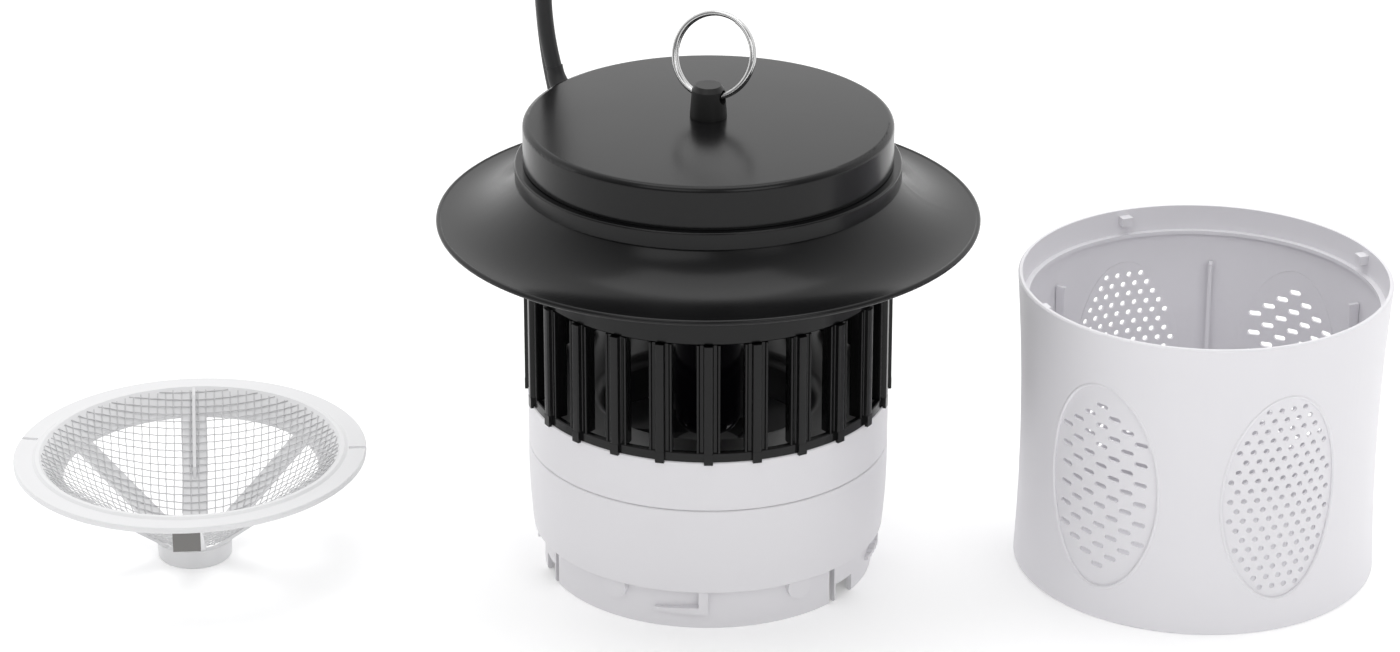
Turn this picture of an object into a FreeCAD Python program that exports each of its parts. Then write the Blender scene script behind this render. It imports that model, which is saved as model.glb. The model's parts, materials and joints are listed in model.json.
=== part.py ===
import FreeCAD, Part
import math
import os

import Sketcher
from FreeCAD import Placement, Rotation, Vector

# Electric bug zapper, laid out in its three lift-apart pieces on one floor.
#
# The strainer stands at -X, the head with its lamp and fan in the middle and the
# catch bucket at +X. Sizes are millimetres, +Z is up, +Y is the back and the
# origin is the middle of the row at floor level.

SIZES = {
    # where the axis of each piece stands in the row
    "strainer_x": -220.5,
    "head_x": 3.5,
    "bucket_x": 215,
    # cap and brim
    "cap_radius": 78,
    "cap_base": 185.6,
    "cap_edge": 203.8,
    "cap_crown": 204.8,
    "cap_wall": 2.6,
    "tier_radius": 81.5,
    "tier_base": 177.4,
    "brim_radius": 115,
    "brim_lip": 158.8,
    "brim_wall": 2.4,
    # drum above the cage, cage and funnel
    "drum_radius": 76.4,
    "drum_base": 133.4,
    "drum_wall": 2.6,
    "ceiling_base": 136.4,
    "ceiling_depth": 2.4,
    "slat_count": 24,
    "slat_width": 9.8,
    "slat_depth": 6.5,
    "slat_outside": 77,
    "pillar_circle": 66,
    "fin_width": 3.8,
    "fin_depth": 1.7,
    "cage_base": 80.6,
    "cage_ring_height": 4.2,
    "cage_ring_inside": 72.6,
    "throat_radius": 47,
    "throat_height": 77.5,
    "duct_radius": 45,
    # lamp
    "lamp_radius": 14,
    "lamp_base": 60,
    "lamp_top": 124,
    # white body
    "body_radius": 77.3,
    "body_wall": 2.2,
    "seam_height": 58,
    "skirt_radius": 75.6,
    "skirt_base": 19,
    "collar_radius": 71,
    "collar_wall": 2.4,
    # fan
    "fan_height": 47,
    "fan_radius": 42,
    "blade_count": 7,
    # hanging post and ring
    "post_radius": 7.8,
    "post_top": 218.6,
    "eye_height": 213.9,
    "eye_radius": 3,
    "ring_radius": 17.6,
    "ring_sag": 0.7,
    "ring_lean": 20,
    "eye_turn": -24,
    # mains cord
    "cord_radius": 3.5,
    "cord_turn": 135.4,
    "coil_radius": 39,
    "coil_section": 15,
    # strainer
    "strainer_turn": 4.5,
    "flange_radius": 76,
    "flange_top": 50.4,
    "flange_inside": 65,
    "cup_radius": 16,
    "cup_height": 9,
    "rib_width": 11,
    # bucket
    "rim_radius": 79.5,
    "bucket_height": 132.3,
    "waist_radius": 76.6,
    "waist_height": 68,
    "foot_radius": 78,
    "bucket_wall": 1.8,
    "rib_count": 6,
    "window_turn": -68.5,
    "window_half_width": 26,
    "window_half_height": 46.5,
    "window_height": 61.5,
}

document = FreeCAD.newDocument("bug_zapper")
sheet = document.addObject("Spreadsheet::Sheet", "Sizes")
for row, (alias, number) in enumerate(SIZES.items(), start=1):
    sheet.set(f"A{row}", alias)
    sheet.set(f"B{row}", str(number))
    sheet.setAlias(f"B{row}", alias)
document.recompute()


class Size:
    """A number together with the formula that ties it to the sheet."""

    def __init__(self, value, formula):
        self.value = value
        self.formula = formula

    def joined(self, other, sign, value):
        other_formula = other.formula if isinstance(other, Size) else repr(float(other))
        return Size(value, f"({self.formula} {sign} {other_formula})")

    def __add__(self, other):
        return self.joined(other, "+", self.value + number(other))

    def __sub__(self, other):
        return self.joined(other, "-", self.value - number(other))

    def __mul__(self, other):
        return self.joined(other, "*", self.value * number(other))


def number(size):
    return size.value if isinstance(size, Size) else float(size)


def formula(size):
    return size.formula if isinstance(size, Size) else repr(float(size))


def cell(alias):
    return Size(float(SIZES[alias]), f"Sizes.{alias}")


kept = {}


def keep(thing, label, axis_x=None):
    """Labels a finished sub-part and stands it on its piece's axis."""
    thing.Label = label
    if axis_x is not None:
        thing.setExpression("Placement.Base.x", axis_x.formula)
        thing.Placement.Base.x = axis_x.value
    kept[label] = thing
    return thing


def origin_plane(body, role):
    return next(plane for plane in body.Origin.OriginFeatures if plane.Role == role)


def place_point(sketch, geometry, position, radius, height):
    """Ties one sketch point to its radius and height, or to an axis where one is zero."""
    for size, kind, axis in ((radius, "DistanceX", -2), (height, "DistanceY", -1)):
        if number(size) == 0:
            sketch.addConstraint(Sketcher.Constraint("PointOnObject", geometry, position, axis))
        else:
            index = sketch.addConstraint(
                Sketcher.Constraint(kind, -1, 1, geometry, position, number(size))
            )
            sketch.setExpression(f"Constraints[{index}]", formula(size))


def draw_outline(sketch, outline):
    """Draws a closed outline of points; a point marked "arc" is the middle of an arc."""
    corners = [point for point in outline if len(point) == 2]
    middles = {}
    corner_index = -1
    for point in outline:
        if len(point) == 2:
            corner_index += 1
        else:
            middles[corner_index] = point
    flat = [Vector(number(x), number(y), 0) for x, y in corners]
    for index, start in enumerate(flat):
        end = flat[(index + 1) % len(flat)]
        if index in middles:
            through = Vector(number(middles[index][0]), number(middles[index][1]), 0)
            sketch.addGeometry(Part.Arc(start, through, end), False)
        else:
            sketch.addGeometry(Part.LineSegment(start, end), False)
    ends = []
    for index, start in enumerate(flat):
        first = sketch.getPoint(index, 1)
        ends.append((1, 2) if first.distanceToPoint(start) < 1e-6 else (2, 1))
    for index in range(len(flat)):
        after = (index + 1) % len(flat)
        sketch.addConstraint(
            Sketcher.Constraint("Coincident", index, ends[index][1], after, ends[after][0])
        )
    for index, (x, y) in enumerate(corners):
        place_point(sketch, index, ends[index][0], x, y)
    for index, (x, y, _) in middles.items():
        mark = sketch.addGeometry(Part.Point(Vector(number(x), number(y), 0)), True)
        place_point(sketch, mark, 1, x, y)
        sketch.addConstraint(Sketcher.Constraint("PointOnObject", mark, 1, index))


def new_body(label):
    return document.addObject("PartDesign::Body", f"body_{label}")


def sketch_on(body, role, name):
    sketch = body.newObject("Sketcher::SketchObject", name)
    sketch.AttachmentSupport = [(origin_plane(body, role), "")]
    sketch.MapMode = "FlatFace"
    return sketch


def turned(label, outline, body=None):
    """A body of revolution: the outline is (radius, height) points about the Z axis."""
    body = body or new_body(label)
    sketch = sketch_on(body, "XZ_Plane", f"outline_{label}")
    draw_outline(sketch, outline)
    revolve = body.newObject("PartDesign::Revolution", f"turn_{label}")
    revolve.Profile = sketch
    revolve.ReferenceAxis = (sketch, ["V_Axis"])
    revolve.Angle = 360
    body.Tip = revolve
    document.recompute()
    return body


def box(name, width, depth, height, centre_x, centre_y, base):
    """A Part::Box with its middle at (centre_x, centre_y) and its foot at base."""
    block = document.addObject("Part::Box", name)
    for side, size in (("Length", width), ("Width", depth), ("Height", height)):
        block.setExpression(side, formula(size))
        setattr(block, side, number(size))
    block.Placement.Base = Vector(
        number(centre_x) - number(width) / 2, number(centre_y) - number(depth) / 2, number(base)
    )
    return block


def rod(name, radius, height, centre_x, centre_y, base):
    cylinder = document.addObject("Part::Cylinder", name)
    for side, size in (("Radius", radius), ("Height", height)):
        cylinder.setExpression(side, formula(size))
        setattr(cylinder, side, number(size))
    cylinder.Placement.Base = Vector(number(centre_x), number(centre_y), number(base))
    return cylinder


def about_axis(thing, turn):
    """Swings a thing about the Z axis of its piece, from where it stands."""
    spin = Placement(Vector(), Rotation(Vector(0, 0, 1), turn))
    thing.Placement = spin.multiply(thing.Placement)
    return thing


def fused(name, things):
    union = document.addObject("Part::MultiFuse", name)
    union.Shapes = things
    return union


def cut(name, base, tools):
    remainder = document.addObject("Part::Cut", name)
    remainder.Base = base
    remainder.Tool = tools[0] if len(tools) == 1 else fused(f"{name}_tools", tools)
    return remainder


def group(name, things):
    compound = document.addObject("Part::Compound", name)
    compound.Links = things
    return compound


def shaped(name, shape):
    feature = document.addObject("Part::Feature", name)
    feature.Shape = shape
    return feature


def round_about(count, first=0.0):
    return [first + 360.0 * index / count for index in range(count)]


def polar(radius, turn):
    """A point at a radius and a turn from the front, positive towards +X."""
    angle = math.radians(turn)
    return radius * math.sin(angle), -radius * math.cos(angle)


head_x = cell("head_x")
strainer_x = cell("strainer_x")
bucket_x = cell("bucket_x")


# ---- Cap, brim and drum -------------------------------------------------

def make_cap():
    radius = cell("cap_radius")
    wall = cell("cap_wall")
    foot = cell("cap_base")
    edge = cell("cap_edge")
    crown = cell("cap_crown")
    bore = 4.2
    shell = turned("cap_shell", [
        (bore, crown),
        (radius * 0.55, crown - 0.35, "arc"),
        (radius - 2.6, edge - 0.3),
        (radius - 0.75, edge - 1.05, "arc"),
        (radius, edge - 2.9),
        (radius, foot),
        (radius - wall, foot),
        (radius - wall, edge - wall - 1.5),
        (radius - wall - 1.5, edge - wall),
        (bore, crown - wall),
    ])
    gland_hole = rod("gland_hole", 4.2, 20, 0, 0, 68)
    gland_hole.Placement = Placement(
        Vector(), Rotation(Vector(0, 0, 1), number(cell("cord_turn")))
    ).multiply(Placement(Vector(68, 0, GLAND_HEIGHT), Rotation(Vector(0, 1, 0), 90)))
    keep(cut("cap", shell, [gland_hole]), "top_cap", head_x)


def make_brim():
    tier = cell("tier_radius")
    tier_base = cell("tier_base")
    brim = cell("brim_radius")
    lip = cell("brim_lip")
    wall = cell("brim_wall")
    neck = cell("drum_radius") + 0.2
    top = cell("cap_base") - 0.4
    keep(turned("brim", [
        (neck - 3.2, top + 4.5),
        (neck - 1.2, top + 4.5),
        (neck - 1.2, top),
        (tier - 0.9, top),
        (tier - 0.26, top - 0.26, "arc"),
        (tier, top - 0.9),
        (tier, tier_base + 0.6),
        (tier - 1.1, tier_base - 0.2),
        (brim - 22.5, lip + 7.2, "arc"),
        (brim - 2, lip + 2.1),
        (brim, lip + 1.0, "arc"),
        (brim - 1.5, lip),
        (brim - 23.5, lip + 4.9, "arc"),
        (neck + wall, tier_base - 6),
        (neck, tier_base - 6),
        (neck, top - wall),
        (neck - 3.2, top - wall),
    ]), "brim", head_x)


def make_cap_seal():
    radius = cell("cap_radius")
    foot = cell("cap_base")
    keep(turned("cap_seal", [
        (radius - 2.4, foot - 0.4),
        (radius - 0.5, foot - 0.4),
        (radius - 0.5, foot),
        (radius - 2.4, foot),
    ]), "cap_seal", head_x)


def make_drum():
    radius = cell("drum_radius")
    wall = cell("drum_wall")
    base = cell("drum_base")
    top = cell("cap_base") - 0.4 - cell("brim_wall")
    keep(turned("drum", [
        (radius - wall, base),
        (radius - 0.5, base),
        (radius, base + 0.5),
        (radius, top),
        (radius - wall, top),
    ]), "lamp_drum", head_x)


PILLAR_TURNS = (-33.0, 33.0, 147.0, -147.0)
SCREW_BORE = 1.35


def pillar_rods(name, radius, height, base):
    """A rod on the axis of each pillar, to bore it or what it meets."""
    rods = []
    for index, turn in enumerate(PILLAR_TURNS):
        x, y = polar(SIZES["pillar_circle"], turn)
        rods.append(rod(f"{name}_{index}", radius, height, x, y, base))
    return rods


def make_ceiling():
    radius = cell("drum_radius") - cell("drum_wall") - 0.05
    base = cell("ceiling_base")
    depth = cell("ceiling_depth")
    plate = turned("ceiling", [
        (9.0, base),
        (radius, base),
        (radius, base + depth),
        (9.0, base + depth),
    ])
    bores = pillar_rods("ceiling_hole", SCREW_BORE, 6, 134)
    keep(cut("ceiling_bored", plate, bores), "ceiling_plate", head_x)


# ---- Cage and funnel ----------------------------------------------------

def make_cage():
    outside = cell("slat_outside")
    depth = cell("slat_depth")
    width = cell("slat_width")
    fin_width = cell("fin_width")
    fin_depth = cell("fin_depth")
    foot = cell("cage_base") + cell("cage_ring_height")
    height = cell("drum_base") - foot
    slats = []
    for index, turn in enumerate(round_about(int(SIZES["slat_count"]))):
        web = box(f"web_{index}", width, depth, height, 0, (outside - depth * 0.5) * -1, foot)
        fin = box(
            f"fin_{index}", fin_width, fin_depth + 0.3, height, 0,
            (outside + fin_depth * 0.5 - 0.15) * -1, foot,
        )
        slats.append(about_axis(fused(f"slat_{index}", [web, fin]), turn))
    keep(group("slats", slats), "cage_slats", head_x)


def make_cage_ring():
    outside = cell("slat_outside")
    inside = cell("cage_ring_inside")
    base = cell("cage_base")
    height = cell("cage_ring_height")
    ring = turned("cage_ring_body", [
        (inside, base),
        (outside, base),
        (outside, base + height - 0.4),
        (outside - 0.4, base + height),
        (outside - 2.3, base + height),
        (inside, base + height - 2),
    ])
    feet = []
    for index, turn in enumerate(round_about(int(SIZES["slat_count"]))):
        foot = box(
            f"foot_{index}", cell("fin_width"), cell("fin_depth") + 0.5, height + 0.7, 0,
            (outside + cell("fin_depth") * 0.5 - 0.25) * -1, base - 0.7,
        )
        feet.append(about_axis(foot, turn))
    clear = rod("body_clearance", cell("body_radius"), 4, 0, 0, base - 4)
    keep(cut("cage_ring", fused("cage_ring_whole", [ring, *feet]), [clear]), "cage_base_ring", head_x)


def make_pillars(funnel):
    """Posts that stand on the funnel and are bored for the cage screws."""
    height = cell("ceiling_base") - cell("cage_base")
    posts = pillar_rods("pillar", 3.3, height, cell("cage_base"))
    bores = pillar_rods("pillar_bore", SCREW_BORE, 10, 128)
    keep(cut("pillars", group("posts", posts), [funnel, *bores]), "cage_pillars", head_x)


def make_funnel():
    outside = cell("cage_ring_inside")
    top = cell("cage_base") + cell("cage_ring_height") - 2
    throat = cell("throat_radius")
    height = cell("throat_height")
    duct = cell("duct_radius")
    bottom = cell("seam_height") + 0.5
    funnel = turned("funnel", [
        (outside, top),
        (throat + 3, height + 0.5),
        (throat + 0.5, height - 0.6, "arc"),
        (duct, height - 4.5),
        (duct, bottom),
        (duct + 2, bottom),
        (duct + 2, height - 4.5),
        (duct + 2.6, height - 2.2),
        (outside, top - 2.2),
    ])
    keep(group("funnel_all", [funnel]), "intake_funnel", head_x)
    make_pillars(funnel)


# ---- Lamp ---------------------------------------------------------------

def make_lamp():
    radius = cell("lamp_radius")
    base = cell("lamp_base")
    top = cell("lamp_top")
    glass = 1.1
    keep(turned("lamp_glass", [
        (0, base),
        (radius - 7, base + 0.6),
        (radius - 2, base + 3.2, "arc"),
        (radius, base + 8),
        (radius, top),
        (radius - glass, top),
        (radius - glass, base + 8.3),
        (radius - 2.7, base + 4.2, "arc"),
        (radius - 7, base + glass + 0.8),
        (0, base + glass),
    ]), "lamp_glass", head_x)
    legs = []
    for index, side in enumerate((-5.0, 5.0)):
        legs.append(rod(f"leg_{index}", 3.2, cell("lamp_top") - cell("lamp_base") - 12, side, 0, base + 10))
    legs.append(box("bridge", 10, 5, 4, 0, 0, base + 11))
    keep(fused("tube", legs), "uv_tube", head_x)
    keep(turned("lamp_plug", [
        (0, top - 2),
        (radius - glass, top - 2),
        (radius - glass, top),
        (radius + 1.2, top),
        (radius + 1.2, top + 3),
        (8.0, top + 3),
        (8.0, top + 14),
        (0, top + 14),
    ]), "lamp_base", head_x)
    ceiling = cell("ceiling_base")
    keep(turned("holder", [
        (8.3, top + 3.2),
        (radius + 4.2, top + 3.2),
        (radius + 4.2, ceiling - 2),
        (radius + 8, ceiling - 2),
        (radius + 8, ceiling),
        (8.3, ceiling),
    ]), "lamp_holder", head_x)


# ---- Circuit board inside the drum --------------------------------------

def make_board():
    floor = cell("ceiling_base") + cell("ceiling_depth")
    lift = 9.0
    keep(group("board_all", [box("board", 84, 58, 1.6, 0, 0, floor + lift)]), "driver_board", head_x)
    corners = [(x, y) for x in (-37.0, 37.0) for y in (-24.0, 24.0)]
    posts = [rod(f"standoff_{i}", 3, lift, x, y, floor) for i, (x, y) in enumerate(corners)]
    keep(group("standoffs", posts), "board_standoffs", head_x)
    screws = []
    for index, (x, y) in enumerate(corners):
        screws.append(rod(f"board_screw_{index}", 2.6, 1.8, x, y, floor + lift + 1.6))
    keep(group("board_screws", screws), "board_screws", head_x)
    deck = floor + lift + 1.6
    keep(group("components", [
        box("choke", 20, 17, 16, -22, 8, deck),
        box("film_capacitor", 18, 8, 12, 4, 16, deck),
        rod("bulk_capacitor", 6.5, 20, 10, -8, deck),
        rod("second_capacitor", 4.5, 13, 24, -14, deck),
        box("relay", 16, 12, 14, 24, 8, deck),
        box("terminal_block", 20, 9, 10, -18, -16, deck),
        box("bridge_rectifier", 8, 8, 5, -2, -18, deck),
    ]), "board_components", head_x)


# ---- White body, collar and fan -----------------------------------------

def make_body():
    radius = cell("body_radius")
    wall = cell("body_wall")
    seam = cell("seam_height")
    top = cell("cage_base")
    keep(turned("upper_ring", [
        (radius - wall, seam + 0.25),
        (radius - 0.4, seam + 0.25),
        (radius, seam + 0.65),
        (radius, top - 0.5),
        (radius - 0.5, top),
        (radius - 4.5, top),
        (radius - 4.5, top - 2),
        (radius - wall, top - 4),
    ]), "upper_body", head_x)
    skirt = cell("skirt_radius")
    base = cell("skirt_base")
    collar = cell("collar_radius")
    keep(turned("skirt", [
        (radius - wall - 1.6, seam + 2.5),
        (radius - wall - 0.1, seam + 2.5),
        (radius - wall - 0.1, seam),
        (radius - 0.4, seam),
        (radius, seam - 0.4),
        (radius - 0.2, seam - 18, "arc"),
        (skirt, base + 0.5),
        (skirt - 0.5, base),
        (collar - 2.4, base),
        (collar - 2.4, base + 2),
        (skirt - wall, base + 2),
        (radius - wall - 1.6, seam - 2),
    ]), "lower_housing", head_x)


def radial_block(name, width, depth, height, radius, base, turn):
    """A block standing at a radius, its outer face square to the turn from the front."""
    block = box(name, width, depth, height, 0, (cell_or(radius) - depth / 2) * -1, base)
    return about_axis(block, turn)


def cell_or(size):
    return size if isinstance(size, Size) else Size(float(size), repr(float(size)))


def make_collar():
    radius = cell("collar_radius")
    wall = cell("collar_wall")
    top = cell("skirt_base")
    ring = turned("collar_ring", [
        (radius - wall, 0.6),
        (radius - wall + 0.6, 0),
        (radius - 0.6, 0),
        (radius, 0.6),
        (radius, top),
        (radius - wall, top),
    ])
    notches = []
    for index, turn in enumerate((48.0, -66.0, -132.0, 114.0)):
        notches.append(radial_block(f"notch_{index}", 3.4, 8, 18, radius + 3, -1, turn))
        side = 1 if turn > 0 else -1
        for step in (4.0, 7.0, 10.0):
            notches.append(
                radial_block(f"short_{index}_{step:.0f}", 4.6, 8, 9, radius + 3, -1, turn + side * step)
            )
    extras = []
    for index, turn in enumerate(round_about(4)):
        pieces = [radial_block(f"stop_{index}", 4, 4.2, 11, radius + 3, top - 11, turn - 1.6)]
        for step in range(5):
            pieces.append(radial_block(
                f"bar_{index}_{step}", 4.4, 4.2, 3 - 0.35 * step, radius + 3 - 0.3 * step,
                top - 11, turn - 4.6 - 3.0 * step,
            ))
        extras.extend(pieces)
    for index, turn in enumerate((-33.0, 32.0, 147.0, -147.0)):
        lobe = rod(f"lobe_{index}", 5.6, 4, 0, 0, 0)
        lobe.Placement = Placement(
            Vector(0, -(number(radius) + 2), number(top) - 3.6), Rotation(Vector(1, 0, 0), -90)
        )
        trim = box(f"pad_trim_{index}", 14, 10, 12, 0, (radius + 2) * -1, top)
        extras.append(about_axis(cut(f"pad_{index}", lobe, [trim]), turn))
    keep(fused("collar", [cut("collar_notched", ring, notches), *extras]), "bayonet_collar", head_x)


def make_fan():
    height = cell("fan_height")
    duct = cell("duct_radius")
    ring = turned("fan_duct", [
        (duct, height - 14),
        (duct + 2.2, height - 14),
        (duct + 2.2, cell("seam_height")),
        (duct, cell("seam_height")),
    ])
    hub = rod("motor_seat", 16, 3, 0, 0, height - 17)
    struts = []
    for index, turn in enumerate(round_about(4, 45.0)):
        strut = box(f"strut_{index}", 6, 57, 3, 0, -43.2, height - 17)
        struts.append(about_axis(strut, turn))
        rib = box(f"strut_rib_{index}", 2.4, 4, 14, 0, -46.4, height - 17)
        struts.append(about_axis(rib, turn))
    keep(fused("fan_frame_body", [ring, hub, *struts]), "fan_frame", head_x)
    keep(turned("motor", [
        (1.7, height - 14),
        (13.5, height - 14),
        (14, height - 13.5),
        (14, height - 4.5),
        (1.7, height - 4.5),
    ]), "motor_can", head_x)
    hub_shell = turned("rotor_hub", [
        (1.5, height - 3.5),
        (15.5, height - 3.5),
        (15.5, height + 5),
        (14.5, height + 6),
        (1.5, height + 6),
    ])
    trim = turned("blade_limit", [
        (14.0, height - 4),
        (cell("fan_radius"), height - 4),
        (cell("fan_radius"), height + 7),
        (14.0, height + 7),
    ])
    blades = []
    for index, turn in enumerate(round_about(int(SIZES["blade_count"]))):
        blade = document.addObject("Part::Box", f"blade_{index}")
        blade.Length = 19
        blade.Width = 34
        blade.Height = 1.3
        place = Placement(Vector(0, 0, 0), Rotation(Vector(0, 0, 1), turn))
        place = place.multiply(Placement(Vector(0, -12, number(height) + 1.2), Rotation(Vector(0, 1, 0), 26)))
        blade.Placement = place.multiply(Placement(Vector(-9.5, -34, -0.65), Rotation()))
        blades.append(blade)
    sweep = document.addObject("Part::Common", "blades_trimmed")
    sweep.Base = fused("blades", blades)
    sweep.Tool = trim
    keep(fused("rotor", [hub_shell, sweep]), "fan_rotor", head_x)
    keep(rod("shaft", 1.5, 18, 0, 0, height - 12), "motor_shaft", head_x)


def screw_group(label, radius, head, length, turns, base):
    """Screws at a radius, each a head with its shank below it."""
    screws = []
    for index, turn in enumerate(turns):
        x, y = polar(radius, turn)
        screws.append(fused(f"{label}_{index}", [
            rod(f"{label}_head_{index}", head, 2, x, y, base),
            rod(f"{label}_shank_{index}", head * 0.5, length, x, y, number(base) - length + 0.1),
        ]))
    keep(group(f"{label}_all", screws), label, head_x)


# ---- Hanging post and ring ----------------------------------------------

def make_post():
    radius = cell("post_radius")
    foot = cell("cap_crown")
    top = cell("post_top")
    stem = 4.0
    under = cell("cap_crown") - 18
    post = turned("post_body", [
        (0, under),
        (stem, under),
        (stem, foot),
        (radius, foot),
        (radius, foot + 1),
        (radius - 0.9, top - 2.0),
        (radius - 2.4, top),
        (0, top),
    ])
    eye = rod("eye", cell("eye_radius"), 24, 0, 0, 0)
    turn = Rotation(Vector(0, 0, 1), SIZES["eye_turn"])
    eye.Placement = Placement(Vector(0, 0, number(cell("eye_height"))), turn).multiply(
        Placement(Vector(-12, 0, 0), Rotation(Vector(0, 1, 0), 90))
    )
    keep(cut("post", post, [eye]), "hanging_post", head_x)
    inside = foot - cell("cap_wall") - 0.3
    keep(turned("washer", [
        (stem, inside - 1.2),
        (9.0, inside - 1.2),
        (9.0, inside),
        (stem, inside),
    ]), "post_washer", head_x)
    nut = document.addObject("Part::Prism", "nut_hex")
    nut.Polygon = 6
    nut.Circumradius = 7.6
    nut.Height = 6
    nut.Placement.Base = Vector(0, 0, number(inside) - 7.2)
    bore = rod("nut_bore", stem, 8, 0, 0, number(inside) - 8)
    keep(cut("nut", nut, [bore]), "post_nut", head_x)


def make_ring():
    """A split ring wound twice, so its section is two round wires side by side."""
    radius = number(cell("ring_radius"))
    wire = 1.15
    turns = []
    for side in (-1, 1):
        turns.append(Part.makeTorus(radius, wire, Vector(0, 0, side * wire * 0.86)))
    ring = turns[0].fuse(turns[1])
    feature = shaped("ring", ring)
    lean = Rotation(Vector(1, 0, 0), 90 - SIZES["ring_lean"])
    stand = Placement(Vector(), Rotation(Vector(0, 0, 1), SIZES["eye_turn"]))
    lift = Rotation(Vector(1, 0, 0), -SIZES["ring_lean"]).multVec(
        Vector(0, 0, radius - number(cell("ring_sag")))
    )
    feature.Placement = Placement(
        Vector(number(head_x), 0, number(cell("eye_height"))), Rotation()
    ).multiply(stand).multiply(Placement(lift, lean))
    keep(feature, "hanging_ring")


# ---- Mains cord ---------------------------------------------------------

GLAND_BEND = 12.0
GLAND_SWING = math.radians(70)
GLAND_STUB = 3.4
GLAND_TAIL = 4.0
GLAND_HEIGHT = 190.5


def beside_cap(radius, height):
    """A point at a radius in the upright plane that the cord leaves the cap in."""
    angle = math.radians(SIZES["cord_turn"])
    return Vector(SIZES["head_x"] + radius * math.cos(angle), radius * math.sin(angle), height)


def gland_line(angle, beyond=0.0):
    """Radius and height of the gland's elbow at an angle, or a length beyond it."""
    foot = SIZES["cap_radius"] - 0.4 + GLAND_STUB
    radius = foot + GLAND_BEND * math.sin(angle) + beyond * math.cos(angle)
    height = GLAND_HEIGHT + GLAND_BEND * (1 - math.cos(angle)) + beyond * math.sin(angle)
    return radius, height


CORD_ROUTE = [
    beside_cap(*gland_line(GLAND_SWING, GLAND_TAIL)),
    beside_cap(*gland_line(GLAND_SWING, GLAND_TAIL + 16)),
    Vector(-67.8, 77.0, 247.0),
    Vector(-68.5, 86.0, 276.0),
    Vector(-69.5, 110.0, 297.0),
    Vector(-70.5, 141.0, 299.0),
    Vector(-71.5, 167.0, 281.0),
    Vector(-72.9, 179.0, 250.0),
    Vector(-72.9, 182.5, 210.0),
    Vector(-70.9, 184.5, 168.0),
    Vector(-63.5, 186.0, 128.0),
    Vector(-60.5, 187.5, 86.0),
    Vector(-60.0, 188.5, 45.4),
    Vector(-46.0, 188.8, 20.6),
    Vector(-21.5, 189.0, 4.2),
    Vector(4.5, 189.4, 4.0),
]


def cord_path(points):
    """Straight runs joined by tangent arcs, each as large as its runs allow."""
    edges = []
    start = points[0]
    for before, corner, after in zip(points, points[1:], points[2:]):
        back = before - corner
        ahead = after - corner
        turn = math.pi - back.getAngle(ahead)
        trim = 0.45 * min(back.Length, ahead.Length)
        print(f"cord radius {trim / math.tan(turn / 2):.0f} at a turn of {math.degrees(turn):.0f}")
        back.normalize()
        ahead.normalize()
        first = corner + back * trim
        last = corner + ahead * trim
        bisector = back + ahead
        bisector.normalize()
        radius = trim / math.tan(turn / 2)
        middle = corner + bisector * (radius / math.cos(turn / 2) - radius)
        edges.append(Part.LineSegment(start, first).toShape())
        edges.append(Part.Arc(first, middle, last).toShape())
        start = last
    edges.append(Part.LineSegment(start, points[-1]).toShape())
    return Part.Wire(edges)


def make_cord():
    radius = number(cell("cord_radius"))
    path = cord_path(CORD_ROUTE)
    first_run = CORD_ROUTE[1] - CORD_ROUTE[0]
    section = Part.Wire(Part.makeCircle(radius, CORD_ROUTE[0], first_run))
    tube = path.makePipeShell([section], True, False)
    expected = math.pi * radius ** 2 * path.Length
    print(f"cord tube volume {tube.Volume:.0f}, section times length {expected:.0f}")
    print(f"cord tube length {path.Length:.0f}")
    keep(shaped("tube", tube), "cord_tube")
    section_size = number(cell("coil_section"))
    coil_radius = number(cell("coil_radius"))
    centre = CORD_ROUTE[-1] + Vector(26.0, -coil_radius - 0.4, 0)
    centre.z = 0
    coil = Part.makeCylinder(coil_radius + section_size / 2, section_size, centre)
    coil = coil.cut(Part.makeCylinder(coil_radius - section_size / 2, section_size, centre))
    coil = coil.makeFillet(4.5, [edge for edge in coil.Edges if len(edge.Vertexes) == 1])
    keep(shaped("coil", coil), "cord_coil")
    make_plug(centre, coil_radius)


def make_plug(coil_centre, coil_radius):
    """A two-pin plug lying on the floor, its tail leaving the coil towards -X."""
    height = 7.2
    tail_start = coil_centre + Vector(-25.4, -coil_radius, height)
    tail = Part.makeCone(3.9, 5.4, 18, tail_start, Vector(-1, 0, 0))
    body = Part.makeBox(34, 26, 14, tail_start + Vector(-51, -13, -7))
    body = body.makeFillet(4, [edge for edge in body.Edges if abs(edge.tangentAt(0).x) > 0.9])
    keep(shaped("plug", tail.fuse(body)), "plug_body")
    pins = []
    for side in (-1, 1):
        pins.append(Part.makeCylinder(2, 19, tail_start + Vector(-51, side * 9.3, 0), Vector(-1, 0, 0)))
    keep(shaped("pins", Part.makeCompound(pins)), "plug_pins")


def make_gland():
    """A moulded elbow that tapers from the cap's wall up to the cord."""
    steps = 8
    wall_radius = 5.3
    exit_radius = 3.9
    sections = [(gland_line(0, -GLAND_STUB), 0.0, wall_radius)]
    for index in range(steps + 1):
        angle = GLAND_SWING * index / steps
        taper = wall_radius - (wall_radius - exit_radius) * index / steps
        sections.append((gland_line(angle), angle, taper))
    sections.append((gland_line(GLAND_SWING, GLAND_TAIL), GLAND_SWING, exit_radius))
    wires = []
    for (radius, height), angle, size in sections:
        heading = Vector(math.cos(angle), 0, math.sin(angle))
        wires.append(Part.Wire(Part.makeCircle(size, Vector(radius, 0, height), heading)))
    feature = shaped("gland", Part.makeLoft(wires, True, False))
    turn = Rotation(Vector(0, 0, 1), SIZES["cord_turn"])
    feature.Placement = Placement(Vector(SIZES["head_x"], 0, 0), turn)
    keep(feature, "cable_gland")


# ---- Strainer -----------------------------------------------------------

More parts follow.
